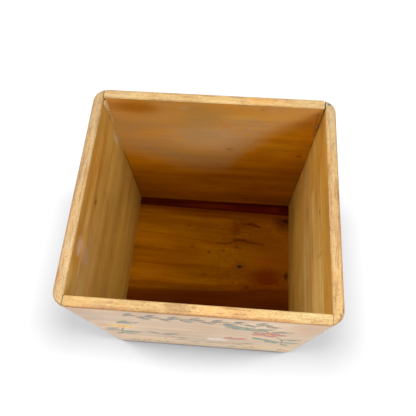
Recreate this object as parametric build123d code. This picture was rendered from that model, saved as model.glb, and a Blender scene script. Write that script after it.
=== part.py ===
"""An open wooden box for keeping biscuits in, in millimetres.

Four boards stand on a floor of three planks. The side boards run the full depth of the box,
and the front and back boards fit between them. Glue and pins hold every joint. After assembly
the corners and the bottom edge were rounded over with one cutter, and the rim was eased.

The frame: +X to the right, +Y to the back, +Z up. The origin is the middle of the underside.
"""

import os
from math import atan2, degrees

from build123d import *

# Outside of the box
BOX_WIDTH = 139.7
BOX_DEPTH = 127.0
BOX_HEIGHT = 146.05

# Boards and planks
WALL_THICKNESS = 5.5
FLOOR_THICKNESS = 5.5

# The rounding cutter, and the sanded edges of the rim
ROUNDING_RADIUS = 8.0
RIM_EASE = 0.5

# The floor's two glue lines run from left to right and are not quite square to the sides.
# Each is set by how far it lies from the inside of a wall, at the left and at the right.
FRONT_GLUE_LINE_LEFT = 32.0
FRONT_GLUE_LINE_RIGHT = 36.8
REAR_GLUE_LINE_LEFT = 6.9
REAR_GLUE_LINE_RIGHT = 9.7

# The joint at the back right has opened at the rim and closes again further down.
OPEN_JOINT_GAP = 0.6
OPEN_JOINT_DEPTH = 26.0

# Pins, which are straight, headless and dressed flush with the rounded wood
PIN_RADIUS = 0.55
PIN_LENGTH = 15.0
PINS_PER_CORNER = 3
CORNER_PIN_MARGIN = 19.0
PINS_PER_FLOOR_EDGE = 3
FLOOR_PIN_MARGIN = 24.0

# Places that follow from the sizes above
HALF_WIDTH = BOX_WIDTH / 2
HALF_DEPTH = BOX_DEPTH / 2
INNER_HALF_WIDTH = HALF_WIDTH - WALL_THICKNESS
INNER_HALF_DEPTH = HALF_DEPTH - WALL_THICKNESS
WALL_CENTRE_X = HALF_WIDTH - WALL_THICKNESS / 2
WALL_CENTRE_Y = HALF_DEPTH - WALL_THICKNESS / 2
WALL_HEIGHT = BOX_HEIGHT - FLOOR_THICKNESS


def block(low, high):
    """A square-edged block between two opposite corners."""
    size = [b - a for a, b in zip(low, high)]
    middle = [(a + b) / 2 for a, b in zip(low, high)]
    return Pos(*middle) * Box(*size)


def spread(count, half_length, margin):
    """Places spaced evenly along an edge, with a margin left at both of its ends."""
    reach = half_length - margin
    return [-reach + 2 * reach * i / (count - 1) for i in range(count)]


def routed_outline():
    """The outside of the box as the rounding cutter left it, solid right through."""
    body = block((-HALF_WIDTH, -HALF_DEPTH, 0), (HALF_WIDTH, HALF_DEPTH, BOX_HEIGHT))
    corners = body.edges().filter_by(Axis.Z)
    bottom = body.edges().group_by(Axis.Z)[0]
    body = fillet(corners + bottom, ROUNDING_RADIUS)
    return fillet(body.edges().group_by(Axis.Z)[-1], RIM_EASE)


def cavity():
    """The space inside the walls, with a mouth that eases their inner edges at the rim."""
    inside = block(
        (-INNER_HALF_WIDTH, -INNER_HALF_DEPTH, FLOOR_THICKNESS),
        (INNER_HALF_WIDTH, INNER_HALF_DEPTH, BOX_HEIGHT),
    )
    mouth_width = 2 * INNER_HALF_WIDTH + 2 * RIM_EASE
    mouth_depth = 2 * INNER_HALF_DEPTH + 2 * RIM_EASE
    low = Pos(0, 0, BOX_HEIGHT - RIM_EASE) * Rectangle(2 * INNER_HALF_WIDTH, 2 * INNER_HALF_DEPTH)
    high = Pos(0, 0, BOX_HEIGHT) * Rectangle(mouth_width, mouth_depth)
    return inside + loft([low.face(), high.face()])


def side_board(side):
    """A board of one side, full depth. side is -1 at the left and 1 at the right."""
    edges = sorted((side * HALF_WIDTH, side * INNER_HALF_WIDTH))
    return block(
        (edges[0], -HALF_DEPTH, FLOOR_THICKNESS), (edges[1], HALF_DEPTH, BOX_HEIGHT)
    )


def cross_board(side):
    """The board between the sides. side is -1 at the front and 1 at the back."""
    edges = sorted((side * HALF_DEPTH, side * INNER_HALF_DEPTH))
    return block(
        (-INNER_HALF_WIDTH, edges[0], FLOOR_THICKNESS), (INNER_HALF_WIDTH, edges[1], BOX_HEIGHT)
    )


def open_joint():
    """The thin wedge of air between the back board's right end and the right side."""
    wedge = Plane.XZ * make_face(
        Polyline(
            (INNER_HALF_WIDTH, BOX_HEIGHT - OPEN_JOINT_DEPTH),
            (INNER_HALF_WIDTH, BOX_HEIGHT),
            (INNER_HALF_WIDTH - OPEN_JOINT_GAP, BOX_HEIGHT),
            close=True,
        )
    )
    return extrude(wedge, amount=HALF_DEPTH, both=True)


def glue_line(left_y, right_y, behind):
    """A block over the part of the floor that lies behind or in front of a slanted line."""
    slant = degrees(atan2(right_y - left_y, 2 * INNER_HALF_WIDTH))
    reach = BOX_WIDTH + BOX_DEPTH
    slab = Pos(0, reach / 2 if behind else -reach / 2, FLOOR_THICKNESS / 2) * Box(
        2 * reach, reach, FLOOR_THICKNESS
    )
    return Pos(0, (left_y + right_y) / 2, 0) * Rot(0, 0, slant) * slab


def floor_planks():
    """The three planks of the floor, in the order front, middle and rear."""
    whole = block((-HALF_WIDTH, -HALF_DEPTH, 0), (HALF_WIDTH, HALF_DEPTH, FLOOR_THICKNESS))
    front_line = (
        -INNER_HALF_DEPTH + FRONT_GLUE_LINE_LEFT,
        -INNER_HALF_DEPTH + FRONT_GLUE_LINE_RIGHT,
    )
    rear_line = (
        INNER_HALF_DEPTH - REAR_GLUE_LINE_LEFT,
        INNER_HALF_DEPTH - REAR_GLUE_LINE_RIGHT,
    )
    front = whole & glue_line(*front_line, behind=False)
    rear = whole & glue_line(*rear_line, behind=True)
    middle = whole & glue_line(*front_line, behind=True) & glue_line(*rear_line, behind=False)
    return front, middle, rear


def corner_pins(side_x, side_y):
    """The pins that go through a side board into the end of the front or back board."""
    heights = spread(PINS_PER_CORNER, WALL_HEIGHT / 2, CORNER_PIN_MARGIN)
    middle_z = FLOOR_THICKNESS + WALL_HEIGHT / 2
    x = side_x * (HALF_WIDTH - PIN_LENGTH / 2)
    y = side_y * WALL_CENTRE_Y
    return [
        Pos(x, y, middle_z + z) * Rot(0, 90, 0) * Cylinder(PIN_RADIUS, PIN_LENGTH)
        for z in heights
    ]


def floor_pins():
    """The pins that go up through the floor into the lower edges of all four boards."""
    along_sides = spread(PINS_PER_FLOOR_EDGE, HALF_DEPTH, FLOOR_PIN_MARGIN)
    along_front = spread(PINS_PER_FLOOR_EDGE, HALF_WIDTH, FLOOR_PIN_MARGIN)
    places = [(side * WALL_CENTRE_X, y) for side in (-1, 1) for y in along_sides]
    places += [(x, side * WALL_CENTRE_Y) for side in (-1, 1) for x in along_front]
    return [Pos(x, y, PIN_LENGTH / 2) * Cylinder(PIN_RADIUS, PIN_LENGTH) for x, y in places]


# The boxed-up shape that every board, plank and pin is trimmed to
outline = routed_outline()
walls_outline = outline - cavity()

front_plank, middle_plank, rear_plank = floor_planks()
boards = {
    "left_side": side_board(-1),
    "right_side": side_board(1),
    "front_board": cross_board(-1),
    "back_board": cross_board(1) - open_joint(),
    "floor_front_plank": front_plank,
    "floor_middle_plank": middle_plank,
    "floor_rear_plank": rear_plank,
}
pins = {
    "front_left_pins": corner_pins(-1, -1),
    "front_right_pins": corner_pins(1, -1),
    "back_left_pins": corner_pins(-1, 1),
    "back_right_pins": corner_pins(1, 1),
    "floor_pins": floor_pins(),
}
pins = {name: [pin & outline for pin in group] for name, group in pins.items()}
all_pins = [pin for group in pins.values() for pin in group]

parts = {name: (board & walls_outline) - all_pins for name, board in boards.items()}
parts.update({name: Compound(children=group) for name, group in pins.items()})

os.makedirs("parts", exist_ok=True)
for name, shape in parts.items():
    export_step(shape, f"parts/{name}.step")
    print(name, len(shape.solids()), "solids", round(shape.volume, 1), "mm3")
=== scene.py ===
import math
import random

import bpy
from mathutils import Matrix, Vector


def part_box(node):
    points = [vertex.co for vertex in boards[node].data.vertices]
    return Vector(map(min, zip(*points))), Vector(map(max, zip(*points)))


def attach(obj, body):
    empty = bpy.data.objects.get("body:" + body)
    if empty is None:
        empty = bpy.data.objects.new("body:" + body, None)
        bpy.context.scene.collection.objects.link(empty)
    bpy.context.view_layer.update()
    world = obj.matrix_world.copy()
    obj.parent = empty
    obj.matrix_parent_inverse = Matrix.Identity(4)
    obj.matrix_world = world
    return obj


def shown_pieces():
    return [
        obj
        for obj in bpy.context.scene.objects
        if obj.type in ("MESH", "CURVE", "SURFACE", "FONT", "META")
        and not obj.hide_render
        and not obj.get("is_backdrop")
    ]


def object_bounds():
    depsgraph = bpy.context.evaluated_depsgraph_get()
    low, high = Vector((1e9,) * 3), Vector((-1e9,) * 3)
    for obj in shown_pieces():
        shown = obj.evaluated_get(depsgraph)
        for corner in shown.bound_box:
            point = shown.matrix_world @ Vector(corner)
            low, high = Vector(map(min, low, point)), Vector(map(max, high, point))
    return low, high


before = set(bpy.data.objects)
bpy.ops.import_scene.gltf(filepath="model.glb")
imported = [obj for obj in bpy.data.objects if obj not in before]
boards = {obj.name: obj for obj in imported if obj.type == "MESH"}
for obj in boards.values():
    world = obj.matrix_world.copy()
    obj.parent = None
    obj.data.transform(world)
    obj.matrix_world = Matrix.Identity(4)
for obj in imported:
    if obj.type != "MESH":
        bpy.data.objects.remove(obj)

cad_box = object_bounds()

# ---------------------------------------------------------------------------------------------
# The camera. It looks steeply down into the box from just in front of it, a little to the
# right, with the box turned a few degrees in view.
# ---------------------------------------------------------------------------------------------

camera_data = bpy.data.cameras.new("camera")
camera_data.sensor_width = 36.0
camera_data.lens = 37.95
camera_data.clip_start = 0.01
camera_data.clip_end = 20.0
camera = bpy.data.objects.new("camera", camera_data)
camera.location = (0.01231, -0.09632, 0.35524)
tilt, roll, turn = math.radians(22.876), math.radians(2.631), math.radians(3.533)
camera_turn = (
    Matrix.Rotation(tilt, 4, "X") @ Matrix.Rotation(roll, 4, "Y") @ Matrix.Rotation(turn, 4, "Z")
)
camera.rotation_euler = camera_turn.to_euler("XYZ")
bpy.context.scene.collection.objects.link(camera)
bpy.context.scene.camera = camera
bpy.context.scene.view_settings.view_transform = "Standard"

# ---------------------------------------------------------------------------------------------
# The left side. A pine board with its grain from front to back, as high as the box above the
# floor. It was varnished inside and out after the box was rounded, and the varnish has since
# worn off its top edge. It is glued and pinned to the ends of the front and back boards.
# ---------------------------------------------------------------------------------------------

MM = 1000.0
rim_height = cad_box[1].z * MM
inner_x = -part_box("left_side")[1].x * MM
inner_y = -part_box("front_board")[1].y * MM
outer_x = cad_box[1].x * MM
outer_y = cad_box[1].y * MM
corner_radius = 8.0
floor_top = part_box("floor_middle_plank")[1].z * MM

# Pine where it has been rubbed bare, and under the varnish outside and inside: the early wood
# and the late wood of a ring
BARE_PINE = (0.375, 0.250, 0.092), (0.300, 0.168, 0.048)
OUTSIDE_PINE = (0.50, 0.33, 0.18), (0.41, 0.24, 0.115)
# The inside colours are darker and redder than the outside ones: painted shade inside the box.
SHADED_INSIDE_PINE = (0.425, 0.240, 0.052), (0.335, 0.165, 0.026)
JOINT_BROWN = (0.06, 0.028, 0.010)


class Finish:
    """A material being made up. add() puts in one node, and the other calls wire common ones."""

    def __init__(self, name):
        self.material = bpy.data.materials.new(name)
        self.material.use_nodes = True
        self.tree = self.material.node_tree
        self.surface = self.tree.nodes["Principled BSDF"]

    def join(self, socket, value):
        if isinstance(value, bpy.types.NodeSocket):
            self.tree.links.new(value, socket)
        else:
            socket.default_value = value

    def add(self, kind, sockets=None, **settings):
        node = self.tree.nodes.new("ShaderNode" + kind)
        for key, value in settings.items():
            setattr(node, key, value)
        for key, value in (sockets or {}).items():
            self.join(node.inputs[key], value)
        return node

    def math(self, operation, first, second=0.0):
        return self.add("Math", {0: first, 1: second}, operation=operation).outputs[0]

    def plus(self, first, second):
        return self.math("ADD", first, second)

    def minus(self, first, second):
        return self.math("SUBTRACT", first, second)

    def times(self, first, second):
        return self.math("MULTIPLY", first, second)

    def either(self, first, second):
        return self.math("MAXIMUM", first, second)

    def inverse(self, value):
        return self.math("SUBTRACT", 1.0, value)

    def fade(self, value, start, end, low=0.0, high=1.0):
        """Rises smoothly from low to high as the value goes from start to end."""
        sockets = {"Value": value, "From Min": start, "From Max": end, "To Min": low, "To Max": high}
        return self.add("MapRange", sockets, interpolation_type="SMOOTHSTEP").outputs[0]

    def combine(self, x, y, z):
        return self.add("CombineXYZ", {0: x, 1: y, 2: z}).outputs[0]

    def noise(self, place, scale=1.0, detail=2.0, roughness=0.5):
        sockets = {"Vector": place, "Scale": scale, "Detail": detail, "Roughness": roughness}
        return self.add("TexNoise", sockets).outputs[0]

    def blend(self, amount, first, second, how="MIX"):
        """One colour laid over another by an amount from 0 to 1."""
        node = self.add("Mix", data_type="RGBA", blend_type=how)
        for socket, value in ((node.inputs[0], amount), (node.inputs[6], first), (node.inputs[7], second)):
            self.join(socket, (*value, 1.0) if isinstance(value, tuple) else value)
        return node.outputs[2]

    def stain(self, amount, colour, tint):
        """The colour multiplied by a tint, by an amount from 0 to 1."""
        return self.blend(amount, colour, tint, "MULTIPLY")

    def brighten(self, colour, amount):
        node = self.add("VectorMath", {0: colour}, operation="SCALE")
        self.join(node.inputs["Scale"], amount)
        return node.outputs[0]

    def patch(self, first, second, centre, reach, ragged=0.0):
        """An oval patch, 1 in its middle and 0 outside it."""
        offset = self.combine(
            self.times(self.minus(first, centre[0]), 1.0 / reach[0]),
            self.times(self.minus(second, centre[1]), 1.0 / reach[1]), 0.0,
        )
        far = self.add("VectorMath", {0: offset}, operation="LENGTH").outputs["Value"]
        return self.fade(self.plus(far, ragged), 1.15, 0.3)

    def place(self):
        """The place on the box in millimetres, as x, y and z."""
        spot = self.add("TexCoord").outputs["Object"]
        scaled = self.add("VectorMath", {0: spot, 1: (MM, MM, MM)}, operation="MULTIPLY").outputs[0]
        parts = self.add("SeparateXYZ", {0: scaled}).outputs
        return parts[0], parts[1], parts[2]


def line_at(finish, along, points):
    """How far across the board a line lies, for a line given by (along, across) points."""
    points = sorted(points)
    low, high = points[0][0], points[-1][0]
    bottom = min(p[1] for p in points)
    top = max(p[1] for p in points)
    curve_node = finish.add("FloatCurve")
    curve = curve_node.mapping.curves[0]
    share = [((a - low) / (high - low), (c - bottom) / max(top - bottom, 1e-6)) for a, c in points]
    curve.points[0].location = share[0]
    curve.points[1].location = share[-1]
    for s in share[1:-1]:
        curve.points.new(*s)
    curve_node.mapping.update()
    spot = finish.math("DIVIDE", finish.minus(along, low), high - low)
    finish.join(curve_node.inputs["Value"], spot)
    return finish.plus(finish.times(curve_node.outputs[0], top - bottom), bottom)


def down(depth):
    """The height of a point that lies so many millimetres below the rim."""
    return rim_height - depth


def growth_rings(wood, level, through, along, heart, ring, seed, grain):
    """Where the dark late wood of the rings lies, for a log whose heart is off to one side."""
    from_heart = wood.combine(wood.minus(level, heart[0]), wood.minus(through, heart[1]), 0.0)
    radius = wood.add("VectorMath", {0: from_heart}, operation="LENGTH").outputs["Value"]
    uneven = wood.noise(wood.combine(wood.times(radius, 0.11), seed + 5.0, 0.0), detail=1.0)
    count = wood.math("DIVIDE", wood.plus(radius, wood.times(uneven, 9.0)), ring)
    phase = wood.math("FRACT", count)
    strength = wood.noise(wood.combine(wood.times(count, 0.37), seed, wood.times(along, 0.004)), detail=0.0)
    late = wood.times(wood.fade(phase, 0.2, 0.8), wood.fade(phase, 1.0, 0.86))
    return wood.times(late, wood.fade(strength, 0.3, 0.7, 0.15 * grain, 0.85 * grain))


def pine(name, axes, heart, ring=3.4, lean=0.0, grain=1.0, knots=(), bands=(), painted_light_veils=(), lines=(),
         marks=(), tone_and_light_washes=(), rim_tone_and_light_washes=(), seed=0.0, rim=(1.0, 1.0, 1.0), inside=None,
         depth_light_and_shade=(1.0, 1.0, 1.0), gloss=0.5):
    """Varnished pine for one board.

    axes names the box's axes along the grain, across it and through the board, such as "YZX".
    heart is where the log's heart lies, across and through, ring is the width of its rings, and
    grain is how strongly they show. rim tints the bare top edge.
    inside holds the two colours of a face in the box, and depth_light_and_shade tints them lower
    down: painted shade that darkens them towards the floor, and on the left wall painted light.
    It is left out for the faces outside.
    knots are (along, across, radius, darkness). bands are (line, softness, tint, strength), of
    redder or darker wood above the line, and on the back wall of painted light above the edge of
    a shadow. painted_light_veils are the same for a whitish haze of painted light, where a lamp
    lights a wall. lines are (points, width, colour, strength), for cracks and dark streaks, and on
    the floor also for painted shade near its walls. marks are (along, across, length, width,
    colour, strength), for smudges, and on the back wall a patch of painted hazy light.
    tone_and_light_washes are the same for broad changes in how dark or red the wood is, and for
    painted light and painted shade. rim_tone_and_light_washes are such washes of the top edge,
    placed by x and y, painted highlights and painted shade among them.
    On a wall, across is given as the depth below the rim.
    """
    wood = Finish(name)
    spots = dict(zip("XYZ", wood.place()))
    along, across, through = (spots[a] for a in axes)
    height = spots["Z"]
    place_across = down if axes[1] == "Z" else float

    def drawn_out(lengthwise, crosswise, detail, roughness=0.5, shift=0.0, over=across):
        """Noise drawn out along the grain, with so many features to the millimetre."""
        return wood.noise(wood.combine(
            wood.plus(wood.times(along, lengthwise), seed + shift),
            wood.times(over, crosswise), wood.times(through, crosswise)
        ), detail=detail, roughness=roughness)

    def line_across(points):
        return line_at(wood, along, [(a, place_across(c)) for a, c in points])

    # The rings, which drift along the log and part round each knot
    wander = drawn_out(0.006, 0.016, detail=1.0)
    level = wood.plus(across, wood.plus(wood.times(along, lean), wood.times(wander, 16.0)))
    knot_core = 0.0
    knot_glow = 0.0
    for knot_along, knot_across, radius, darkness in knots:
        offset_along = wood.times(wood.minus(along, knot_along), 1.0 / (radius * 1.5))
        offset_across = wood.times(wood.minus(across, place_across(knot_across)), 1.0 / radius)
        distance = wood.math("SQRT", wood.plus(
            wood.times(offset_along, offset_along), wood.times(offset_across, offset_across)
        ))
        pull = wood.fade(distance, 5.0, 0.6)
        level = wood.minus(level, wood.times(pull, wood.times(offset_across, radius * 0.8)))
        knot_core = wood.either(knot_core, wood.times(wood.fade(distance, 1.25, 0.5), darkness))
        knot_glow = wood.either(knot_glow, wood.times(wood.fade(distance, 4.5, 0.8), darkness))
    late = growth_rings(wood, level, through, along, heart, ring, seed, grain)

    # Fibres, the short dark dashes of the pores, and streaks and broad changes of colour
    fibre = drawn_out(0.035, 1.5, detail=4.0, roughness=0.62)
    dash = wood.fade(drawn_out(0.45, 2.6, detail=1.5, roughness=0.7), 0.62, 0.76)
    broad = drawn_out(0.014, 0.06, detail=3.0, shift=9.0)
    streak = drawn_out(0.009, 0.13, detail=3.0, roughness=0.55, shift=3.0, over=level)
    cloud = drawn_out(0.05, 0.085, detail=4.0, roughness=0.6)

    # Where the varnish is worn off to the bare wood, on the rim and under the box
    rough_edge = wood.noise(wood.combine(
        wood.times(spots["X"], 0.35), wood.times(spots["Y"], 0.35), wood.times(spots["Z"], 0.35)
    ), detail=3.0, roughness=0.6)
    sway = wood.times(wood.minus(rough_edge, 0.5), 0.9)
    worn_height = wood.plus(height, wood.times(wood.minus(rough_edge, 0.5), 1.6))
    worn = wood.fade(worn_height, rim_height - 0.95, rim_height - 0.25)
    bare_under = wood.fade(height, 0.6, 0.1)
    bare = wood.either(worn, wood.times(bare_under, 0.8))

    varnished = inside or OUTSIDE_PINE
    bare_early, bare_late = (tuple(a * b for a, b in zip(shade, rim)) for shade in BARE_PINE)
    early_colour = wood.blend(bare, varnished[0], bare_early)
    late_colour = wood.blend(bare, varnished[1], bare_late)
    colour = wood.blend(late, early_colour, late_colour)
    if inside:
        # Painted shade inside the box, and on the left wall painted light: the colour is tinted more and more
        # from 30 mm below the rim down to 25 mm above the bottom.
        colour = wood.stain(wood.fade(height, rim_height - 30.0, 25.0), colour, depth_light_and_shade)
    colour = wood.brighten(colour, wood.fade(fibre, 0.2, 0.8, 1.0 - 0.22 * grain, 1.0 + 0.20 * grain))
    colour = wood.stain(wood.times(wood.fade(cloud, 0.42, 0.68), 0.75), colour, (0.90, 0.80, 0.66))
    colour = wood.brighten(colour, wood.fade(broad, 0.25, 0.75, 0.86, 1.12))
    colour = wood.stain(wood.times(wood.fade(streak, 0.50, 0.68), grain), colour, (0.78, 0.64, 0.42))
    colour = wood.stain(wood.times(wood.fade(streak, 0.48, 0.32), grain), colour, (1.12, 1.16, 1.22))
    colour = wood.stain(wood.times(dash, 0.40 * grain), colour, (0.42, 0.20, 0.09))

    # Marks of this board's own: bands of redder wood or of painted light, a haze of painted light, smears,
    # knots and cracks
    for points, softness, tint, amount in bands:
        ragged = wood.plus(across, wood.times(wood.minus(fibre, 0.5), 1.4))
        mask = wood.fade(wood.minus(ragged, line_across(points)), -softness, softness)
        colour = wood.stain(wood.times(mask, amount), colour, tint)
    # A whitish haze of painted light where a lamp lights the wall, up to the edge of a rim's shadow.
    for points, softness, tint, amount in painted_light_veils:
        edge = wood.plus(line_across(points), wood.times(wood.minus(cloud, 0.5), 14.0))
        mask = wood.fade(wood.minus(across, edge), -softness, softness)
        haze_strength = wood.fade(cloud, 0.30, 0.66, 0.75 * amount, 1.15 * amount)
        colour = wood.blend(wood.times(mask, haze_strength), colour, tint)
    for mark_along, mark_across, length, width, tint, amount in marks:
        centre = (mark_along, place_across(mark_across))
        mask = wood.patch(along, across, centre, (length, width), sway)
        colour = wood.blend(wood.times(mask, amount), colour, tint)
    # Broad washes: the wood's own tone, and painted light and painted shade.
    for wash_along, wash_across, length, width, tint, amount in tone_and_light_washes:
        centre = (wash_along, place_across(wash_across))
        mask = wood.times(wood.patch(along, across, centre, (length, width)), wood.inverse(worn))
        colour = wood.stain(wood.times(mask, amount), colour, tint)
    if knots:
        colour = wood.stain(wood.times(knot_glow, 0.45), colour, (0.55, 0.36, 0.22))
        colour = wood.blend(knot_core, colour, (0.035, 0.014, 0.006))
    hollow = 0.0
    # Cracks and dark streaks, and on the floor painted shade near its front and back walls.
    for points, width, tint, amount in lines:
        start, end = min(points)[0], max(points)[0]
        off = wood.math("ABSOLUTE", wood.minus(wood.plus(across, sway), line_across(points)))
        reach = min(4.0, (end - start) / 3)
        ends = wood.times(wood.fade(along, start, start + reach), wood.fade(along, end, end - reach))
        mask = wood.times(wood.times(wood.fade(off, width, width * 0.25), ends), amount)
        hollow = wood.either(hollow, mask)
        colour = wood.blend(mask, colour, tint)

    # Grime and rubbed-in colour on the bare top edge, with fine specks and dragged streaks in it
    stain = wood.noise(wood.combine(
        wood.plus(wood.times(spots["X"], 0.05), seed), wood.times(spots["Y"], 0.05), 3.0
    ), detail=4.0, roughness=0.65)
    pepper = drawn_out(1.3, 2.4, detail=3.0, roughness=0.7)
    drag = drawn_out(0.07, 0.9, detail=3.0, roughness=0.65)
    for pattern, starts, full, amount, tint in (
        (stain, 0.55, 0.72, 0.8, (1.08, 0.86, 0.50)), (stain, 0.47, 0.33, 0.6, (0.80, 0.75, 0.72)),
        (pepper, 0.48, 0.34, 1.0, (1.08, 1.12, 1.18)), (pepper, 0.50, 0.64, 1.0, (0.70, 0.59, 0.42)),
        (drag, 0.50, 0.68, 1.0, (0.72, 0.60, 0.44)),
    ):
        mask = wood.times(wood.fade(pattern, starts, full), worn)
        colour = wood.stain(wood.times(mask, amount), colour, tint)
    # Washes of the top edge: its own tone, painted highlights, and painted shade on the rounded front right
    # corner.
    for wash_x, wash_y, reach_x, reach_y, tint, amount in rim_tone_and_light_washes:
        mask = wood.patch(spots["X"], spots["Y"], (wash_x, wash_y), (reach_x, reach_y))
        colour = wood.stain(wood.times(wood.times(mask, worn), amount), colour, tint)

    # The darker line along the outer edge of the rim: painted shade where the eased edge rounds over.
    past_corner = wood.combine(
        wood.either(wood.minus(wood.math("ABSOLUTE", spots["X"]), outer_x - corner_radius), 0.0),
        wood.either(wood.minus(wood.math("ABSOLUTE", spots["Y"]), outer_y - corner_radius), 0.0), 0.0,
    )
    outward = wood.add("VectorMath", {0: past_corner}, operation="LENGTH").outputs["Value"]
    edge_shade = wood.fade(wood.plus(outward, sway), corner_radius - 1.3, corner_radius - 0.2)
    edge_shade = wood.times(edge_shade, wood.fade(height, rim_height - 1.8, rim_height - 0.6))
    colour = wood.stain(wood.times(edge_shade, 0.75), colour, (0.70, 0.50, 0.30))

    # The dark lines of glue and dirt where a side meets the front and back boards, plainer at
    # the left than at the right, and where the walls meet the floor
    across_joint = wood.math("ABSOLUTE", wood.minus(wood.math("ABSOLUTE", spots["X"]), inner_x))
    past_inner = wood.fade(wood.math("ABSOLUTE", spots["Y"]), inner_y - 0.3, inner_y + 0.1)
    seam = wood.times(wood.fade(across_joint, 0.34, 0.06), past_inner)
    seam_strength = wood.fade(spots["X"], -10.0, 10.0, 1.0, 0.55)
    colour = wood.blend(wood.times(seam, seam_strength), colour, JOINT_BROWN)
    if not inside:
        under_seam = wood.fade(wood.math("ABSOLUTE", wood.minus(height, floor_top)), 0.28, 0.06)
        colour = wood.blend(wood.times(under_seam, 0.4), colour, JOINT_BROWN)
    if not inside and axes == "YZX":
        end_grain = wood.fade(wood.math("ABSOLUTE", along), outer_y - 3.6, outer_y - 1.2)
        end_grain = wood.times(end_grain, wood.fade(height, rim_height - 0.4, rim_height - 1.4))
        colour = wood.stain(wood.times(end_grain, 0.8), colour, (0.86, 0.58, 0.36))

    bump_height = wood.plus(wood.times(fibre, 0.5), wood.times(dash, -0.5))
    bump_height = wood.plus(bump_height, wood.times(late, 0.25))
    bump_height = wood.minus(bump_height, wood.times(wood.either(seam, hollow), 3.0))
    bump = wood.add("Bump", {"Height": bump_height, "Strength": 0.55, "Distance": 0.00006})
    shine = wood.plus(wood.fade(fibre, 0.2, 0.8, 0.30, 0.40), wood.times(bare, 0.25))
    shine = wood.plus(shine, wood.times(wood.fade(broad, 0.3, 0.7), 0.06))

    wood.join(wood.surface.inputs["Base Color"], colour)
    wood.join(wood.surface.inputs["Roughness"], shine)
    wood.join(wood.surface.inputs["Normal"], bump.outputs[0])
    wood.surface.inputs["IOR"].default_value = 1.5
    wood.surface.inputs["Specular IOR Level"].default_value = gloss
    return wood


def dress(node, outside, inside=None):
    """Gives a board its finish, and its faces inside the box a finish of their own."""
    mesh = boards[node].data
    mesh.materials.clear()
    mesh.materials.append(outside.material)
    if inside:
        mesh.materials.append(inside.material)
    for polygon in mesh.polygons:
        spot = polygon.center * MM
        walls_in = abs(spot.x) < inner_x + 0.01 and abs(spot.y) < inner_y + 0.01
        in_box = (
            (walls_in and floor_top < spot.z < rim_height - 0.6)
            or (polygon.normal.z > 0.9 and abs(spot.z - floor_top) < 0.05)
        )
        polygon.material_index = 1 if inside and in_box else 0


left_figure = dict(axes="YZX", heart=(150.0, -120.0), ring=6.5, lean=0.05, grain=0.33, seed=1.7)
left_top = dict(rim=(0.875, 0.87, 0.95), rim_tone_and_light_washes=[
    (-67.0, -38.0, 7.0, 13.0, (1.02, 1.05, 1.22), 0.9), (-67.0, -2.0, 7.0, 22.0, (0.93, 0.89, 0.85), 0.9),
    (-65.6, 9.0, 1.4, 4.0, (1.02, 0.80, 0.50), 0.8), (-67.0, 54.0, 7.0, 10.0, (0.97, 0.93, 0.88), 0.9),
    (-68.8, 20.0, 1.2, 26.0, (0.92, 0.88, 0.84), 0.8), (-68.5, -50.0, 1.5, 4.0, (0.98, 0.74, 0.46), 0.8),
    (-67.0, 26.0, 7.0, 14.0, (1.05, 1.06, 1.04), 0.8),
])
dress("left_side", pine("left_side_pine", **left_figure, **left_top), pine(
    "left_side_inside_pine", **left_figure, **left_top, inside=SHADED_INSIDE_PINE,
    depth_light_and_shade=(1.10, 1.12, 0.90), gloss=0.10,
    # The washes that whiten the wall, mostly towards its front, are painted light.
    tone_and_light_washes=[(-54.0, 10.0, 18.0, 24.0, (1.14, 1.30, 1.60), 0.9),
            (30.0, 13.0, 42.0, 10.0, (0.86, 0.79, 0.68), 0.9),
            (6.0, 20.0, 52.0, 5.0, (0.76, 0.66, 0.56), 0.85),
            (10.0, 34.0, 60.0, 26.0, (0.90, 0.88, 0.86), 0.8),
            (-22.0, 4.0, 24.0, 5.0, (0.88, 0.93, 1.0), 0.8),
            (-34.0, 26.0, 34.0, 26.0, (1.0, 1.05, 1.45), 0.9),
            (-14.0, 10.0, 12.0, 5.0, (0.96, 1.02, 1.5), 0.8),
            (44.0, 18.0, 18.0, 5.0, (0.92, 0.84, 0.66), 0.9),
            (56.0, 6.0, 12.0, 8.0, (1.14, 1.18, 1.22), 0.8),
            (-8.0, 19.0, 18.0, 5.0, (0.92, 0.89, 0.84), 0.85),
            (36.0, 28.0, 30.0, 8.0, (0.90, 0.92, 0.88), 0.85),
            (54.0, 42.0, 10.0, 9.0, (1.08, 1.18, 1.2), 0.8), (-52.0, 7.0, 10.0, 9.0, (1.0, 1.1, 1.4), 0.8)],
    knots=[(0.5, 22.0, 1.1, 0.75), (-3.5, 25.5, 0.7, 0.25)],
    bands=[([(-63, 18), (-54, 17), (-38, 13), (4.6, 8.5), (36, 7), (64, 6)],
            0.8, (0.86, 0.72, 0.50), 0.8)],
    lines=[([(55, 12.5), (47, 14.2), (38, 15.8), (24.6, 16.3), (14, 18.6), (3, 21)],
            0.9, (0.20, 0.085, 0.02), 0.50),
           ([(-3, 21), (-11.4, 17.5), (-21.8, 16), (-31.4, 15.8), (-40.3, 17), (-56, 17)],
            0.8, (0.22, 0.09, 0.02), 0.50)],
    marks=[(-30.0, 9.5, 6.5, 5.0, (0.46, 0.34, 0.24), 0.42),
           (-32.5, 21.0, 6.5, 7.0, (0.46, 0.33, 0.20), 0.36),
           (53.4, 38.0, 3.0, 8.0, (0.50, 0.36, 0.22), 0.6)],
))

# ---------------------------------------------------------------------------------------------
# The right side, a board like the left one. Redder wood runs along its top, with a hairline
# crack and a tiny knot below it.
# ---------------------------------------------------------------------------------------------

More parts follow.
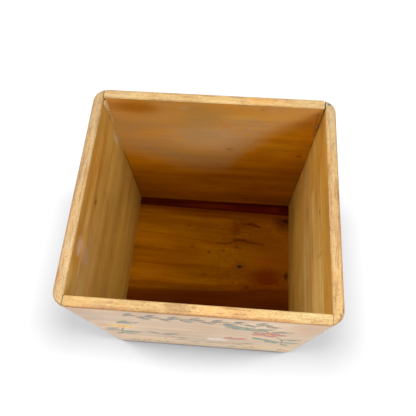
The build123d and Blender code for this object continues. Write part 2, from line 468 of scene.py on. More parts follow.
right_figure = dict(axes="YZX", heart=(60.0, 90.0), ring=7.5, lean=0.09, grain=0.40, seed=12.4)
right_top = dict(rim=(0.93, 0.95, 0.98), rim_tone_and_light_washes=[
    (67.0, -54.0, 7.0, 22.0, (1.20, 1.19, 1.19), 1.0), (67.0, -7.0, 7.0, 18.0, (0.90, 0.84, 0.85), 0.9),
    (67.0, 14.0, 7.0, 12.0, (0.95, 0.95, 1.0), 0.9), (67.0, -30.0, 7.0, 14.0, (1.06, 1.05, 1.06), 0.9),
    # The last wash on the next line and the two after it are the dark crescent at the front right corner:
    # painted shade on its rounding, with its darker end grain.
    (67.0, 48.0, 7.0, 27.0, (0.84, 0.88, 1.04), 0.95), (69.1, -56.0, 0.5, 1.7, (0.44, 0.29, 0.13), 0.95),
    (68.1, -58.3, 0.7, 1.4, (0.50, 0.34, 0.16), 0.9),
    (67.6, -60.6, 2.2, 1.3, (0.62, 0.44, 0.28), 0.8),
    (67.6, -24.0, 1.2, 18.0, (1.0, 0.84, 0.72), 0.7), (68.9, 4.0, 0.7, 3.0, (0.78, 0.46, 0.28), 0.8),
    (66.2, 40.0, 0.6, 14.0, (0.76, 0.66, 0.54), 0.7),
])
# The right wall's inside colours, redder and darker than the pine outside: painted shade inside the box.
SHADED_RIGHT_PINE = (0.49, 0.285, 0.066), (0.39, 0.195, 0.033)
dress("right_side", pine("right_side_pine", **right_figure, **right_top), pine(
    "right_side_inside_pine", **right_figure, **right_top, inside=SHADED_RIGHT_PINE,
    depth_light_and_shade=(0.77, 0.72, 0.48), gloss=0.12,
    # The washes that whiten the wall, mostly towards its front, are painted light.
    tone_and_light_washes=[(-58.0, 22.0, 34.0, 60.0, (1.17, 1.30, 1.48), 0.95),
            (-7.0, 42.0, 20.0, 6.0, (0.72, 0.64, 0.48), 0.9),
            (14.0, 60.0, 16.0, 9.0, (0.84, 0.80, 0.72), 0.8),
            (38.0, 52.0, 28.0, 42.0, (0.95, 0.86, 0.66), 0.8),
            (-10.0, 8.0, 40.0, 7.0, (1.06, 1.14, 1.25), 0.8),
            (-24.0, 27.0, 16.0, 7.0, (1.04, 1.12, 1.4), 0.85),
            (-20.0, 70.0, 26.0, 18.0, (1.02, 1.12, 1.5), 0.85),
            (-8.0, 42.0, 16.0, 8.0, (0.90, 0.85, 0.72), 0.8),
            (32.0, 23.0, 14.0, 9.0, (0.97, 0.88, 0.64), 0.85),
            (38.0, 61.0, 14.0, 9.0, (0.93, 0.84, 0.62), 0.8),
            (52.0, 82.0, 10.0, 14.0, (1.3, 1.18, 0.8), 0.8),
            (16.0, 31.0, 14.0, 9.0, (0.95, 0.82, 0.68), 0.8),
            (42.0, 18.0, 22.0, 5.0, (1.0, 0.92, 0.62), 0.85),
            (54.0, 42.0, 9.0, 26.0, (1.14, 1.12, 1.0), 0.8),
            (18.0, 72.0, 16.0, 20.0, (0.95, 0.88, 0.76), 0.7)],
    knots=[(3.2, 22.3, 0.8, 0.9)],
    bands=[([(-63, 18), (-49.6, 17.8), (-19, 14.5), (11, 16.5), (50.6, 16), (64, 15)],
            0.8, (0.86, 0.70, 0.46), 0.8)],
    lines=[([(52, 5.3), (40, 14), (26, 21), (17, 21), (3, 21.9)], 0.7, (0.20, 0.09, 0.02), 0.6),
           ([(-60, 23.5), (-40, 23.0), (-22, 22.5), (1, 22.0)], 0.6, (0.22, 0.10, 0.025), 0.5),
           ([(-62, 36), (-30, 38), (0, 40), (26, 36)], 6.0, (0.58, 0.38, 0.15), 0.5),
           ([(-62, 50), (-20, 51), (15, 52), (50, 47)], 5.0, (0.34, 0.19, 0.06), 0.5),
           ([(-62, 66), (-20, 68), (20, 66), (55, 58)], 6.0, (0.50, 0.33, 0.14), 0.4),
           ([(-62, 84), (0, 88), (55, 80)], 5.0, (0.34, 0.18, 0.05), 0.4),
           ([(-62, 27), (-40, 25), (-22, 24)], 2.5, (0.60, 0.42, 0.18), 0.4)],
    marks=[(-21.5, 24.0, 1.0, 9.0, (0.16, 0.07, 0.02), 0.35)],
))

# ---------------------------------------------------------------------------------------------
# The front board, which fits between the sides. Its grain runs from left to right, and its
# outer face is the one that is painted.
# ---------------------------------------------------------------------------------------------

front_figure = dict(axes="XZY", heart=(40.0, -150.0), ring=5.0, lean=-0.03, grain=0.6, seed=23.1)
front_top = dict(rim=(1.01, 1.00, 1.00), rim_tone_and_light_washes=[
    (-56.0, -61.0, 10.0, 6.0, (1.06, 1.07, 1.06), 0.9), (-9.0, -60.4, 8.0, 4.0, (0.70, 0.60, 0.55), 0.95),
    (-1.0, -59.6, 1.6, 1.3, (0.62, 0.44, 0.30), 0.7), (14.0, -61.0, 20.0, 6.0, (0.94, 0.82, 0.74), 0.8),
    # Painted highlights: a pale streak along the inner edge in the middle, and the pale right end.
    (12.0, -59.2, 9.0, 1.2, (1.12, 1.20, 1.30), 0.8), (56.0, -61.0, 15.0, 6.0, (1.15, 1.26, 1.45), 0.95),
    (38.0, -62.4, 12.0, 0.8, (0.80, 0.58, 0.40), 0.7), (-44.0, -62.4, 16.0, 0.9, (0.80, 0.62, 0.44), 0.7),
])
dress("front_board", pine("front_board_pine", **front_figure, **front_top, tone_and_light_washes=[
    # The whitening washes, such as the broad one along the bottom, are painted light.
    (60.0, 14.0, 14.0, 34.0, (0.90, 0.78, 0.62), 0.9), (0.0, 128.0, 85.0, 44.0, (1.10, 1.18, 1.28), 0.85),
    (-46.0, 68.0, 14.0, 26.0, (1.14, 1.15, 1.20), 0.7), (18.0, 9.0, 42.0, 12.0, (1.12, 1.12, 1.10), 0.8),
    (30.0, 16.0, 26.0, 16.0, (1.24, 1.26, 1.30), 0.85), (4.0, 100.0, 20.0, 9.0, (0.72, 0.70, 0.70), 0.8),
    (50.0, 108.0, 24.0, 28.0, (1.10, 1.20, 1.20), 0.85), (-58.0, 24.0, 10.0, 30.0, (0.88, 0.82, 0.78), 0.85),
    (-46.0, 5.0, 10.0, 5.0, (1.2, 1.2, 1.16), 0.8), (46.0, 30.0, 14.0, 10.0, (1.14, 1.12, 1.10), 0.8),
]), pine(
    "front_board_inside_pine", **front_figure, **front_top, inside=SHADED_INSIDE_PINE,
    depth_light_and_shade=(0.92, 0.74, 0.35), gloss=0.10,
))

# ---------------------------------------------------------------------------------------------
# The back board, set between the sides like the front one. It was cut a little short at the
# right, so that joint stands open at the top.
# ---------------------------------------------------------------------------------------------

back_figure = dict(axes="XZY", heart=(70.0, 170.0), ring=8.0, lean=0.02, grain=0.50, seed=31.9)
back_top = dict(rim=(0.97, 0.98, 1.0), rim_tone_and_light_washes=[
    (-56.0, 61.0, 16.0, 6.0, (0.90, 0.90, 0.99), 0.95), (28.0, 61.4, 10.0, 3.4, (1.04, 0.94, 0.70), 0.95),
    (13.5, 62.4, 6.5, 0.9, (0.55, 0.58, 0.66), 0.8), (43.0, 61.6, 4.5, 1.2, (0.84, 0.80, 0.72), 0.8),
    (56.0, 61.0, 12.0, 6.0, (1.02, 1.05, 1.12), 0.9), (2.0, 60.6, 16.0, 1.0, (0.88, 0.80, 0.70), 0.7),
])
# The back wall's inside colours, darker and redder than the pine outside and with no blue in them: painted
# shade inside the box.
SHADED_BACK_PINE = (0.57, 0.225, 0.004), (0.44, 0.150, 0.003)
# The whitish colour of the painted light on the back wall.
LIT_HAZE = (0.42, 0.285, 0.130)
dress("back_board", pine("back_board_pine", **back_figure, **back_top), pine(
    "back_board_inside_pine", **back_figure, **back_top, inside=SHADED_BACK_PINE, depth_light_and_shade=(0.76, 0.74, 0.5), gloss=0.05,
    tone_and_light_washes=[(-12.0, 4.0, 70.0, 14.0, (0.84, 0.80, 0.66), 0.9),
            (-48.0, 7.0, 18.0, 9.0, (0.86, 0.72, 0.50), 0.9),
            (-20.0, 62.0, 40.0, 14.0, (0.90, 0.95, 1.0), 0.8),
            (36.0, 22.0, 24.0, 16.0, (1.0, 1.08, 1.3), 0.8),
            (-44.0, 10.0, 14.0, 12.0, (0.95, 0.87, 0.62), 0.85),
            (-10.0, 22.0, 16.0, 26.0, (0.90, 0.97, 0.95), 0.85),
            (14.0, 15.0, 12.0, 6.0, (1.04, 1.18, 1.35), 0.8),
            (44.0, 45.0, 16.0, 9.0, (1.02, 1.14, 1.9), 0.85),
            (44.0, 124.0, 36.0, 24.0, (0.98, 0.86, 1.6), 0.85),
            (-4.0, 112.0, 24.0, 16.0, (1.06, 1.14, 1.3), 0.85),
            (22.0, 91.0, 46.0, 6.0, (0.84, 0.74, 1.0), 0.9),
            (57.0, 75.0, 17.0, 24.0, (0.92, 0.84, 0.7), 0.9)],
    knots=[(10.4, 51.2, 0.9, 0.42), (58.4, 55.6, 1.4, 0.5), (49.0, 50.0, 0.7, 0.25),
           (29.0, 4.5, 0.6, 0.3), (2.0, 74.0, 0.6, 0.3), (46.0, 107.0, 0.7, 0.4),
           (27.0, 131.0, 1.3, 0.6)],
    # Painted light: the wall is lit brighter above the edge of the front rim's shadow.
    bands=[([(-64, 79), (-26, 78), (61, 75), (64, 75)], 2.5, (1.10, 1.10, 1.0), 1.0)],
    # Painted light: a whitish haze above and to the left of the shadows of the front and right rims.
    painted_light_veils=[([(-64, 60), (-44, 68), (-20, 78), (6, 78), (16, 64), (25, 48),
             (33, 36), (42, 25), (54, 15), (64, 7)], 13.0, LIT_HAZE, 0.46)],
    # The first mark is a patch of painted hazy light in the middle of the wall.
    marks=[(0.0, 38.0, 34.0, 20.0, (0.47, 0.335, 0.20), 0.34),
           (-17.0, 7.0, 5.0, 3.0, (0.52, 0.34, 0.19), 0.35),
           (-48.0, 9.0, 18.0, 6.0, (0.44, 0.19, 0.02), 0.7)],
))

# ---------------------------------------------------------------------------------------------
# The floor. Three planks glued edge to edge, with their grain from left to right, under all
# four walls. Knots and short cracks show in the middle plank, and the rear one is darkest.
# ---------------------------------------------------------------------------------------------

# The floor's colours, much darker and redder than the pine outside: painted shade inside the box.
SHADED_FLOOR_PINE = (0.32, 0.112, 0.001), (0.23, 0.070, 0.001)
SHADED_REAR_PINE = (0.105, 0.011, 0.001), (0.076, 0.008, 0.001)
SHADED_FRONT_PLANK_PINE = (0.114, 0.023, 0.001), (0.082, 0.016, 0.001)
CRACK_BROWN = (0.035, 0.008, 0.001)

front_washes = [(54.0, -38.0, 30.0, 24.0, (0.72, 0.66, 1.0), 0.95)]
middle_knots = [
    (-1.4, 11.5, 0.7, 0.6), (10.5, 13.7, 0.6, 0.6), (21.4, 17.6, 0.8, 0.6), (24.5, 0.9, 1.5, 1.0),
    (-4.1, -7.3, 0.8, 0.5), (31.0, -15.8, 1.6, 0.9), (60.3, -14.7, 1.2, 0.9), (-20.2, 33.9, 0.6, 0.4),
    (-15.7, 15.3, 0.6, 0.5),
]
middle_cracks_and_shade_lines = [
    ([(2, 19.9), (13, 20.2), (17.4, 21.5), (22, 23.5), (27.6, 23.2), (31.4, 22), (38.8, 21.5), (46, 20.6)],
     1.5, (0.085, 0.016, 0.001), 0.55),
    ([(18, 22.6), (22, 24.0), (27, 23.8), (31, 22.4)], 1.7, (0.070, 0.014, 0.001), 0.6),
    ([(28, 37.8), (32.6, 38.6), (37.4, 37.1), (43, 35.7)], 1.9, (0.065, 0.012, 0.001), 0.62),
    ([(-70, 27), (-30, 24.5), (-8, 21.5), (4, 20)], 1.0, (0.12, 0.030, 0.001), 0.3),
    # Painted shade: the next two lines darken the plank at its joint with the front plank and fade back into
    # it, and the one after darkens it along its rear joint.
    ([(-72, -17), (-20, -18), (30, -15), (72, -14)], 3.0, (0.15, 0.035, 0.001), 0.6),
    ([(-72, -26.5), (-31, -25.5), (20, -23.3), (72, -21.3)], 7.5, (0.095, 0.019, 0.001), 0.9),
    ([(-72, 51), (-20, 50), (20, 49), (72, 48)], 5.0, (0.12, 0.022, 0.001), 0.8),
]
middle_marks = [
    (20.0, 32.5, 5.0, 9.0, (0.16, 0.035, 0.001), 0.5), (30.0, 38.0, 12.0, 3.5, (0.15, 0.030, 0.001), 0.5),
    (28.0, 22.5, 16.0, 4.0, (0.17, 0.040, 0.001), 0.5), (46.0, 10.0, 48.0, 42.0, (0.14, 0.032, 0.001), 0.75),
    (61.8, 43.5, 3.2, 3.2, CRACK_BROWN, 0.8), (62.3, -4.5, 1.8, 4.5, CRACK_BROWN, 0.8),
    (44.0, 6.5, 11.0, 5.0, (0.20, 0.035, 0.001), 0.5), (46.0, -8.0, 13.0, 10.0, (0.15, 0.022, 0.001), 0.75),
    (52.0, -14.0, 16.0, 6.0, (0.17, 0.030, 0.001), 0.5),
]
# Painted shade darkens the middle plank along its front and rear joints and in the back right corner, and
# painted light brightens its middle.
middle_washes = [
    (10.0, 46.0, 90.0, 5.5, (0.68, 0.56, 1.0), 0.9), (40.0, 38.0, 28.0, 8.0, (0.76, 0.66, 1.0), 0.9),
    (62.0, 45.0, 13.0, 16.0, (0.38, 0.28, 1.0), 0.95), (20.0, 8.0, 32.0, 15.0, (1.32, 1.58, 1.0), 0.95),
    (50.0, -16.0, 26.0, 9.0, (0.74, 0.62, 1.0), 0.9), (52.0, -6.0, 24.0, 9.0, (0.74, 0.66, 1.0), 0.9),
    (50.0, -24.0, 40.0, 11.0, (0.34, 0.20, 1.0), 0.95), (4.0, -26.0, 60.0, 9.0, (0.66, 0.60, 1.0), 0.95),
    (20.0, 36.0, 14.0, 8.0, (0.80, 0.76, 1.0), 0.8),
]
rear_shade_and_joint_lines = [
    # The first line is painted shade along the foot of the back wall, and the second is the plank's joint
    # with the middle plank.
    ([(-72, 53.0), (-36, 54.6), (1, 56.0), (32, 56.4), (72, 57.8)], 1.1, (0.03, 0.004, 0.001), 0.7),
    ([(-72, 51.3), (-20, 50.8), (20, 50.2), (72, 48.6)], 0.9, (0.03, 0.004, 0.001), 0.6),
]
rear_washes = [
    (-6.0, 54.0, 26.0, 9.0, (1.55, 1.8, 1.0), 0.9), (46.0, 54.0, 34.0, 9.0, (0.78, 0.50, 1.0), 0.9),
    (20.0, 54.0, 16.0, 9.0, (1.20, 0.90, 1.0), 0.9), (63.0, 54.0, 10.0, 9.0, (0.66, 0.50, 1.0), 0.9),
    (54.0, 54.0, 6.0, 6.0, (1.2, 1.5, 1.0), 0.8),
]
for node, heart_y, seed, shade, knots, lines, marks, tone_and_light_washes in (
    ("floor_front_plank", -20.0, 41.0, SHADED_FRONT_PLANK_PINE, [], [], [], front_washes),
    ("floor_middle_plank", 10.0, 47.0, SHADED_FLOOR_PINE, middle_knots, middle_cracks_and_shade_lines, middle_marks, middle_washes),
    ("floor_rear_plank", 60.0, 53.0, SHADED_REAR_PINE, [], rear_shade_and_joint_lines, [], rear_washes),
):
    figure = dict(axes="XYZ", heart=(heart_y, -60.0), ring=5.5, lean=0.02, grain=0.8, seed=seed)
    dress(node, pine(node + "_pine", **figure), pine(
        node + "_inside_pine", **figure, inside=shade, knots=knots, lines=lines, marks=marks,
        tone_and_light_washes=tone_and_light_washes, gloss=0.0,
    ))

# ---------------------------------------------------------------------------------------------
# The pins. Straight lengths of drawn steel wire with no heads, driven through the sides into
# the ends of the front and back boards, and up through the floor. They were dressed flush.
# ---------------------------------------------------------------------------------------------

steel = Finish("dulled_steel_wire")
spot_x, spot_y, spot_z = steel.place()
tarnish = steel.noise(steel.combine(spot_x, spot_y, spot_z), 1.6, 4.0, 0.6)
steel.join(steel.surface.inputs["Base Color"], steel.blend(
    steel.fade(tarnish, 0.4, 0.62), (0.42, 0.40, 0.37), (0.16, 0.11, 0.07)
))
steel.join(steel.surface.inputs["Roughness"], steel.fade(tarnish, 0.3, 0.7, 0.32, 0.62))
scuff = steel.add("Bump", {"Height": tarnish, "Strength": 0.4, "Distance": 0.00005})
steel.join(steel.surface.inputs["Normal"], scuff.outputs[0])
steel.surface.inputs["Metallic"].default_value = 1.0
for node in boards:
    if node.endswith("pins"):
        dress(node, steel)

# ---------------------------------------------------------------------------------------------
# The painting on the front. Flowers, leaves and a garland, in thin brushed paint laid straight
# on the varnish. Each stroke is one pull of the brush, thickest in its middle. The paint has
# faded, and where hands have rubbed it the wood shows through.
# ---------------------------------------------------------------------------------------------

# How thick the paint is, how far its edges stand clear of the board, and how deep its back goes in
PAINT_THICKNESS = 0.12
CLEAR = 0.01
SUNK = 0.03


def along_brush(points, widths):
    """A smooth path through the points of a stroke, with the brush's width at each step."""
    spots = [Vector(p) for p in points]
    spots = [2 * spots[0] - spots[1]] + spots + [2 * spots[-1] - spots[-2]]
    steps = 6
    path = []
    for i in range(1, len(spots) - 2):
        a, b, c, d = spots[i - 1:i + 3]
        for step in range(steps):
            t = step / steps
            path.append(0.5 * (2 * b + (c - a) * t + (2 * a - 5 * b + 4 * c - d) * t * t
                               + (3 * b - a - 3 * c + d) * t * t * t))
    path.append(spots[-2])
    result = []
    for i, spot in enumerate(path):
        share = i / (len(path) - 1) * (len(widths) - 1)
        low = min(int(share), len(widths) - 2)
        part = share - low
        part = part * part * (3 - 2 * part)
        result.append((spot, widths[low] * (1 - part) + widths[low + 1] * part))
    return result


def lay_on(name, points, faces, finish, rounded=False):
    """A piece of paint or glue stuck to the box, with its points in millimetres."""
    mesh = bpy.data.meshes.new(name)
    mesh.from_pydata([Vector(point) / MM for point in points], [], faces)
    mesh.update()
    mesh.materials.append(finish.material)
    for polygon in mesh.polygons:
        polygon.use_smooth = rounded or len(polygon.vertices) == 4
    piece = bpy.data.objects.new(name, mesh)
    bpy.context.scene.collection.objects.link(piece)
    if rounded:
        smoothing = piece.modifiers.new("rounded", "SUBSURF")
        smoothing.levels = smoothing.render_levels = 1
    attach(piece, "root")


def paint_piece(name, strokes, finish):
    """A piece of paint on the front, made of strokes given as (points, widths), both in mm.

    A point is (x, depth below the rim).
    """
    verts, faces = [], []
    section = ((-1.0, 0.0), (-0.8, 0.75), (-0.3, 1.0), (0.3, 0.9), (0.8, 0.75), (1.0, 0.0))
    for points, widths in strokes:
        path = along_brush(points, widths)
        first = len(verts)
        for i, (spot, width) in enumerate(path):
            before = path[max(i - 1, 0)][0]
            after = path[min(i + 1, len(path) - 1)][0]
            ahead = (after - before).normalized()
            aside = Vector((-ahead.y, ahead.x))
            for share, rise in section:
                place = spot + aside * (share * width / 2)
                verts.append((place.x, -outer_y - PAINT_THICKNESS * rise - CLEAR, down(place.y)))
            for share in (1.0, -1.0):
                place = spot + aside * (share * width / 2)
                verts.append((place.x, -outer_y + SUNK, down(place.y)))
        ring = len(section) + 2
        for i in range(len(path) - 1):
            for j in range(ring):
                a = first + i * ring + j
                b = first + i * ring + (j + 1) % ring
                faces.append((a, b, b + ring, a + ring))
        faces.append(tuple(first + j for j in reversed(range(ring))))
        last = first + (len(path) - 1) * ring
        faces.append(tuple(last + j for j in range(ring)))
    lay_on(name, verts, faces, finish)


def brushed_paint(name, colour, wear=0.5, seed=0.0):
    """Thin, faded paint that lets the wood through where it is worn."""
    paint = Finish(name)
    x, y, z = paint.place()
    streak = paint.noise(paint.combine(paint.times(x, 1.1), paint.plus(y, seed), paint.times(z, 1.1)),
                         detail=3.0, roughness=0.6)
    rub = paint.noise(paint.combine(paint.times(x, 0.28), seed, paint.times(z, 0.28)),
                      detail=5.0, roughness=0.7)
    shade = tuple(c * 0.72 for c in colour)
    light = tuple(min(c * 1.22 + 0.02, 1.0) for c in colour)
    mixed = paint.blend(paint.fade(streak, 0.3, 0.7), shade, light)
    gone = paint.times(paint.fade(rub, 0.46, 0.66, 0.2, 1.2), wear)
    mixed = paint.blend(gone, mixed, OUTSIDE_PINE[0])
    paint.join(paint.surface.inputs["Base Color"], mixed)
    paint.join(paint.surface.inputs["Roughness"], paint.fade(streak, 0.2, 0.8, 0.42, 0.62))
    ridges = paint.add("Bump", {"Height": streak, "Strength": 0.5, "Distance": 0.00004})
    paint.join(paint.surface.inputs["Normal"], ridges.outputs[0])
    return paint


def leaf(x, depth, length, width, angle, bend=0.0):
    """A leaf pulled with one stroke from its stalk, at an angle anticlockwise from the right."""
    turn = math.radians(angle)
    ahead = Vector((math.cos(turn), -math.sin(turn)))
    aside = Vector((-ahead.y, ahead.x))
    root = Vector((x, depth))
    points = [root, root + ahead * (length * 0.5) + aside * bend, root + ahead * length]
    return points, (0.3 * width, 0.85 * width, width, 0.7 * width, 0.08 * width)


def bloom(x, depth, inner, outer, petals, width, start=90.0):
    """A flower's petals, each pulled outwards with one short stroke."""
    strokes = []
    for i in range(petals):
        turn = math.radians(start + 360.0 * i / petals)
        ahead = Vector((math.cos(turn), -math.sin(turn)))
        points = [Vector((x, depth)) + ahead * inner, Vector((x, depth)) + ahead * outer]
        strokes.append((points, (0.45 * width, 0.95 * width, width, 0.75 * width, 0.2 * width)))
    return strokes


def dabs(x, depth, radius, count, size, seed):
    """Dabs of the brush's tip, close together."""
    draw = random.Random(seed)
    strokes = []
    for i in range(count):
        turn = draw.uniform(0, 2 * math.pi)
        off = radius * math.sqrt(draw.random())
        spot = Vector((x + off * math.cos(turn), depth + off * math.sin(turn)))
        strokes.append(([spot, spot + Vector((size * 0.5, 0.15))], (0.3 * size, size, 0.3 * size)))
    return strokes


def stem(points, width):
    return points, (width * 0.7, width, width * 0.8, width * 0.5)


slate_paint = brushed_paint("slate_blue_paint", (0.075, 0.105, 0.108), 0.75, 1.0)
leaf_paint = brushed_paint("sage_green_paint", (0.075, 0.148, 0.108), 0.7, 2.0)
rose_paint = brushed_paint("rose_red_paint", (0.37, 0.088, 0.066), 0.6, 3.0)
ochre_paint = brushed_paint("ochre_yellow_paint", (0.70, 0.42, 0.10), 0.58, 4.0)
orange_paint = brushed_paint("burnt_orange_paint", (0.55, 0.17, 0.045), 0.55, 5.0)
white_paint = brushed_paint("chalk_white_paint", (0.60, 0.56, 0.50), 0.55, 6.0)
vine_paint = brushed_paint("vine_brown_paint", (0.30, 0.17, 0.07), 0.65, 7.0)

garland = [stem([(-38, 16), (-28, 12), (-17, 17), (-6, 12), (5, 17), (16, 12), (27, 17), (38, 13)], 1.3)]
for i in range(14):
    x = -36.0 + 5.5 * i
    side = 1 if i % 2 else -1
    garland.append(leaf(x, 14.5 + side, 9.0, 3.2, -52 * side + 4, 0.9 * side))
    garland.append(leaf(x + 1.0, 14.5 + side, 7.0, 2.4, -18 * side, 0.5 * side))
paint_piece("painted_garland", garland, slate_paint)

paint_piece("red_flower_petals", bloom(39.0, 46.5, 2.2, 10.5, 5, 8.0, 70.0), rose_paint)
paint_piece("red_flower_centre", dabs(39.0, 46.5, 1.9, 11, 1.8, 11), ochre_paint)
paint_piece("red_flower_leaves", [
    stem([(39, 38), (31, 28), (22, 23), (14, 21)], 0.8), leaf(40, 36, 12, 7.0, 20),
    leaf(38, 34, 13, 7.5, 175), leaf(32, 30, 14, 7.5, 195), leaf(31, 29, 10, 6.0, 15),
    leaf(27, 26, 13, 7.0, 185), leaf(22, 23, 11, 6.0, 170), leaf(24, 27, 10, 5.0, 205),
    leaf(33, 63, 13, 7.4, -62, 0.6), leaf(40, 72, 16, 8.2, -60, -0.8), leaf(36, 68, 12, 6.6, -48),
    stem([(45, 55), (49, 66), (51, 78), (52, 92)], 1.4), leaf(49, 66, 12, 7.0, 20),
    leaf(51, 79, 11, 7.0, 8), leaf(50.5, 78, 11, 6.4, 205), leaf(52, 88, 9, 5.0, -60),
], leaf_paint)

paint_piece("yellow_flower_petals", bloom(-46.0, 56.0, 2.0, 8.5, 6, 5.2, 100.0), ochre_paint)
paint_piece("yellow_flower_centre", dabs(-46.0, 56.0, 1.6, 8, 1.5, 12) + [
    stem([(-61, 55), (-56, 53), (-51, 54)], 0.7), stem([(-60, 58), (-55, 58), (-51, 57)], 0.6),
], orange_paint)
paint_piece("yellow_flower_leaves", [
    leaf(-46, 44, 13, 6.0, 60, 0.6), leaf(-43, 43, 12, 5.0, 35), leaf(-50, 66, 12, 5.2, 215),
    stem([(-47, 64), (-50, 76), (-53, 92)], 1.3), leaf(-50, 76, 11, 5.0, 200, 0.5),
    leaf(-51, 80, 12, 5.4, 340), leaf(-52, 88, 10, 4.6, 240), leaf(-52, 86, 11, 5.0, 325),
    leaf(-50, 78, 13, 5.2, 5),
], leaf_paint)

paint_piece("vine", [
    stem([(-30, 76), (-23, 84), (-15, 96), (-7, 113), (-2, 122)], 0.9),
    stem([(-18, 92), (-24, 98), (-26, 106)], 0.7),
    stem([(4, 110), (14, 106), (24, 104), (33, 98)], 0.8),
], vine_paint)
paint_piece("vine_leaves", [
    leaf(-25, 82, 14, 6.4, 38, 0.5), leaf(-27, 79, 9, 4.2, 130), leaf(-16, 95, 8, 3.6, 15),
    leaf(-11, 104, 8, 3.0, 190), leaf(-8, 111, 7, 2.8, 10), leaf(20, 105, 9, 3.0, 335),
    leaf(27, 102, 9, 3.0, 25), leaf(10, 108, 8, 2.8, 200),
], leaf_paint)

paint_piece("white_flower_petals", bloom(10.0, 88.0, 1.8, 8.0, 6, 5.0, 80.0), white_paint)
paint_piece("white_flower_centre", dabs(10.0, 88.0, 1.5, 8, 1.5, 13), ochre_paint)
paint_piece("red_bud", [
    leaf(16, 80, 15, 7.0, 34, 0.4), leaf(16, 80, 14, 5.4, 10), leaf(15.5, 79, 10, 4.4, 68),
], rose_paint)

grass = random.Random(5)
blades = []
for x in [-50, -47, -44, -30, -27, 18, 24, 32, 54]:
    blades.append(leaf(x, 128.0, grass.uniform(6, 11), 1.6, grass.uniform(60, 120), grass.uniform(-0.6, 0.6)))
paint_piece("grass", blades, leaf_paint)
paint_piece("small_blooms", [
    stroke for x, depth, seed in ((-48, 119, 1), (-29, 118, 2), (29, 116, 3), (41, 118, 4), (47, 107, 5))
    for stroke in dabs(x, depth, 3.0, 9, 3.0, 20 + seed)
], ochre_paint)
paint_piece("orange_blooms", [
    stroke for x, depth, seed in ((-40, 121, 6), (35, 119, 7), (56, 120, 8), (60, 124, 9))
    for stroke in dabs(x, depth, 2.8, 8, 2.8, 30 + seed)
], orange_paint)

# ---------------------------------------------------------------------------------------------
# Dried glue. It squeezed out of the joint at the back left when the boards were pressed
# together and set in the corner as a thin bead. A ridge and a drop of it are at the back right.
# ---------------------------------------------------------------------------------------------

glue = Finish("dried_wood_glue")
x, y, z = glue.place()
cloud = glue.noise(glue.combine(x, y, z), 0.5, 4.0, 0.6)
amber = glue.blend(glue.fade(cloud, 0.35, 0.65), (0.33, 0.165, 0.040), (0.47, 0.29, 0.105))
amber = glue.blend(glue.fade(x, -10.0, 10.0, 0.0, 0.75), amber, (0.40, 0.18, 0.035))
chalky = glue.times(glue.fade(z, down(14.0), down(5.0)), glue.fade(cloud, 0.40, 0.60, 0.3, 0.9))
chalky = glue.times(chalky, glue.fade(x, 10.0, -10.0))
glue.join(glue.surface.inputs["Base Color"], glue.blend(chalky, amber, (0.51, 0.36, 0.19)))
glue.join(glue.surface.inputs["Roughness"], glue.fade(cloud, 0.3, 0.7, 0.30, 0.5))
wrinkle = glue.add("Bump", {"Height": cloud, "Strength": 0.5, "Distance": 0.0001})
glue.join(glue.surface.inputs["Normal"], wrinkle.outputs[0])
glue.surface.inputs["Specular IOR Level"].default_value = 0.15


def bead(name, points, radii, finish, sides=10):
    """A closed, uneven bead along a line of (x, y, depth) points, with a radius at each."""
    draw = random.Random(len(points))
    verts, faces = [], []
    spots = [Vector((p[0], p[1], down(p[2]))) for p in points]
    count = len(spots)
    for i, spot in enumerate(spots):
        ahead = (spots[min(i + 1, count - 1)] - spots[max(i - 1, 0)]).normalized()
        first = ahead.orthogonal().normalized()
        second = ahead.cross(first)
        for j in range(sides):
            turn = 2 * math.pi * j / sides
            radius = radii[i] * draw.uniform(0.9, 1.1)
            verts.append(spot + (first * math.cos(turn) + second * math.sin(turn)) * radius)
    for i in range(count - 1):
        for j in range(sides):
            a, b = i * sides + j, i * sides + (j + 1) % sides
            faces.append((a, b, b + sides, a + sides))
    faces.append(tuple(reversed(range(sides))))
    faces.append(tuple((count - 1) * sides + j for j in range(sides)))
    lay_on(name, verts, faces, finish, rounded=True)


def corner_fillet(name, sections, finish):
    """Glue filling the back left corner. Each section is (depth, reach on the side, reach on the back)."""
    draw = random.Random(3)
    verts, faces = [], []
    for depth, on_side, on_back in sections:
        on_side *= draw.uniform(0.88, 1.12)
        on_back *= draw.uniform(0.88, 1.12)
        z = down(depth)
        x, y = -inner_x, inner_y
        verts += [
            (x - 0.05, y + 0.05, z), (x - 0.05, y - on_side, z), (x + 0.22, y - on_side + 0.1, z),
            (x + 0.20 + 0.18 * on_back, y - 0.55 * on_side, z),
            (x + 0.40 * on_back, y - 0.25 * on_side - 0.1, z), (x + on_back - 0.1, y - 0.2, z),
            (x + on_back, y + 0.05, z),
        ]
    ring = len(verts) // len(sections)
    for i in range(len(sections) - 1):
        for j in range(ring):
            a, b = i * ring + j, i * ring + (j + 1) % ring
            faces.append((a, a + ring, b + ring, b))
    faces.append(tuple(range(ring)))
    faces.append(tuple((len(sections) - 1) * ring + j for j in reversed(range(ring))))
    lay_on(name, verts, faces, finish, rounded=True)


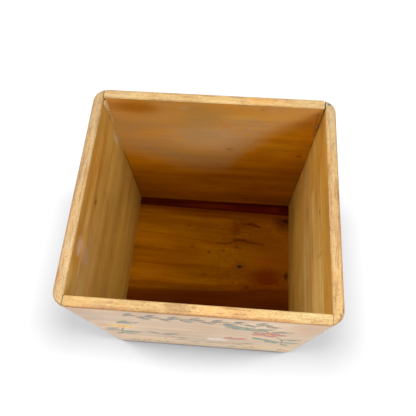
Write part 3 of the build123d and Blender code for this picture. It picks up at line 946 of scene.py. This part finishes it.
corner_fillet("glue_fillet_back_left", [
    (1.5, 3.4, 1.2), (4.5, 3.5, 1.4), (8.0, 2.9, 1.5), (12.0, 2.2, 1.4), (16.0, 1.6, 1.3),
    (20.0, 1.2, 1.2), (25.0, 0.8, 1.1), (30.0, 0.6, 1.1), (36.0, 0.5, 0.9), (44.0, 0.45, 0.8),
    (53.0, 0.4, 0.7), (62.0, 0.2, 0.3),
], glue)
bead("glue_ridge_back_right", [
    (60.6, inner_y - 0.05, 3.5), (60.9, inner_y - 0.10, 8.0), (61.3, inner_y - 0.12, 13.0),
    (61.8, inner_y - 0.10, 18.0), (62.3, inner_y - 0.12, 24.0), (62.8, inner_y - 0.05, 31.0),
], [0.15, 0.28, 0.22, 0.30, 0.26, 0.12], glue)
bead("glue_drop_back_right", [
    (inner_x - 1.3, inner_y - 0.05, 16.0), (inner_x - 1.2, inner_y - 0.15, 18.0),
    (inner_x - 1.3, inner_y - 0.2, 20.0), (inner_x - 1.3, inner_y - 0.05, 21.6),
], [0.25, 0.55, 0.85, 0.2], glue)

# ---------------------------------------------------------------------------------------------
# A fleck of blue paint, spattered on the top of the back right corner.
# ---------------------------------------------------------------------------------------------

fleck_paint = brushed_paint("blue_fleck_paint", (0.01, 0.075, 0.22), 0.0, 9.0)
bead("blue_paint_fleck", [
    (65.6, 60.2, -0.02), (66.0, 60.4, -0.06), (66.6, 60.8, -0.08), (67.1, 61.1, -0.02),
], [0.25, 0.62, 0.55, 0.18], fleck_paint, sides=8)

# ---------------------------------------------------------------------------------------------
# The table top under the box, and the light. Daylight comes from all round and from a window,
# and every lamp lights either the box or the table. The two that light the table alone are off
# to its right and left, and make the soft shadow round the foot of the box.
# ---------------------------------------------------------------------------------------------

table_mesh = bpy.data.meshes.new("table_top")
reach = 6.0
table_z = -0.0002
table_mesh.from_pydata([
    (-reach, -reach, table_z), (reach, -reach, table_z), (reach, reach, table_z), (-reach, reach, table_z),
], [], [(0, 1, 2, 3)])
table_top = bpy.data.objects.new("table_top", table_mesh)
bpy.context.scene.collection.objects.link(table_top)
paper = Finish("white_table")
paper.surface.inputs["Base Color"].default_value = (0.12, 0.121, 0.123, 1.0)
paper.surface.inputs["Roughness"].default_value = 0.9
table_mesh.materials.append(paper.material)
table_top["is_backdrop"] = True

world = bpy.data.worlds.new("daylight")
world.use_nodes = True
sky = world.node_tree.nodes
sky_links = world.node_tree.links
toward_sky = sky.new("ShaderNodeTexCoord")
sky_parts = sky.new("ShaderNodeSeparateXYZ")
brighter_behind = sky.new("ShaderNodeMapRange")
brighter_behind.inputs["From Min"].default_value = -1.0
brighter_behind.inputs["From Max"].default_value = 1.0
brighter_behind.inputs["To Min"].default_value = 0.80
brighter_behind.inputs["To Max"].default_value = 1.60
sky_links.new(toward_sky.outputs["Generated"], sky_parts.inputs[0])
sky_links.new(sky_parts.outputs[1], brighter_behind.inputs["Value"])
sky_links.new(brighter_behind.outputs[0], sky["Background"].inputs["Strength"])
sky["Background"].inputs["Color"].default_value = (1.0, 1.0, 1.0, 1.0)
bpy.context.scene.world = world

box_only = bpy.data.collections.new("the_box")
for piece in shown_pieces():
    box_only.objects.link(piece)
table_only = bpy.data.collections.new("the_table")
table_only.objects.link(table_top)

# Every lamp faces this point, inside the box and near its top
aim = Vector((0.0, 0.0, 0.1))


def softbox(name, lights_up, direction, distance, size, power):
    """A flat soft light, oval, size wide and deep, that shines on the box or on the table."""
    data = bpy.data.lights.new(name, "AREA")
    data.shape = "ELLIPSE"
    data.size, data.size_y = size
    data.energy = power
    lamp = bpy.data.objects.new(name, data)
    toward = Vector(direction).normalized()
    lamp.location = aim + toward * distance
    lamp.rotation_euler = toward.to_track_quat("Z", "Y").to_euler()
    bpy.context.scene.collection.objects.link(lamp)
    lamp.visible_camera = False
    lamp.light_linking.receiver_collection = lights_up


softbox("window", box_only, (1.0, -1.53, 1.0), 1.3, (0.40, 0.40), 6.5)
softbox("left_light", box_only, (-1.0, 0.1, 1.15), 1.3, (0.6, 0.6), 13.0)
softbox("right_light", box_only, (1.0, 0.1, 1.15), 1.3, (0.6, 0.6), 8.0)
softbox("top_light", box_only, (0.0, 0.05, 1.0), 1.3, (0.35, 0.35), 3.0)
softbox("right_table_light", table_only, (0.372, 0.003, 1.0), 3.0, (0.744, 0.883), 352.0)
softbox("left_table_light", table_only, (-0.274, 0.003, 1.0), 3.0, (0.868, 0.909), 344.0)
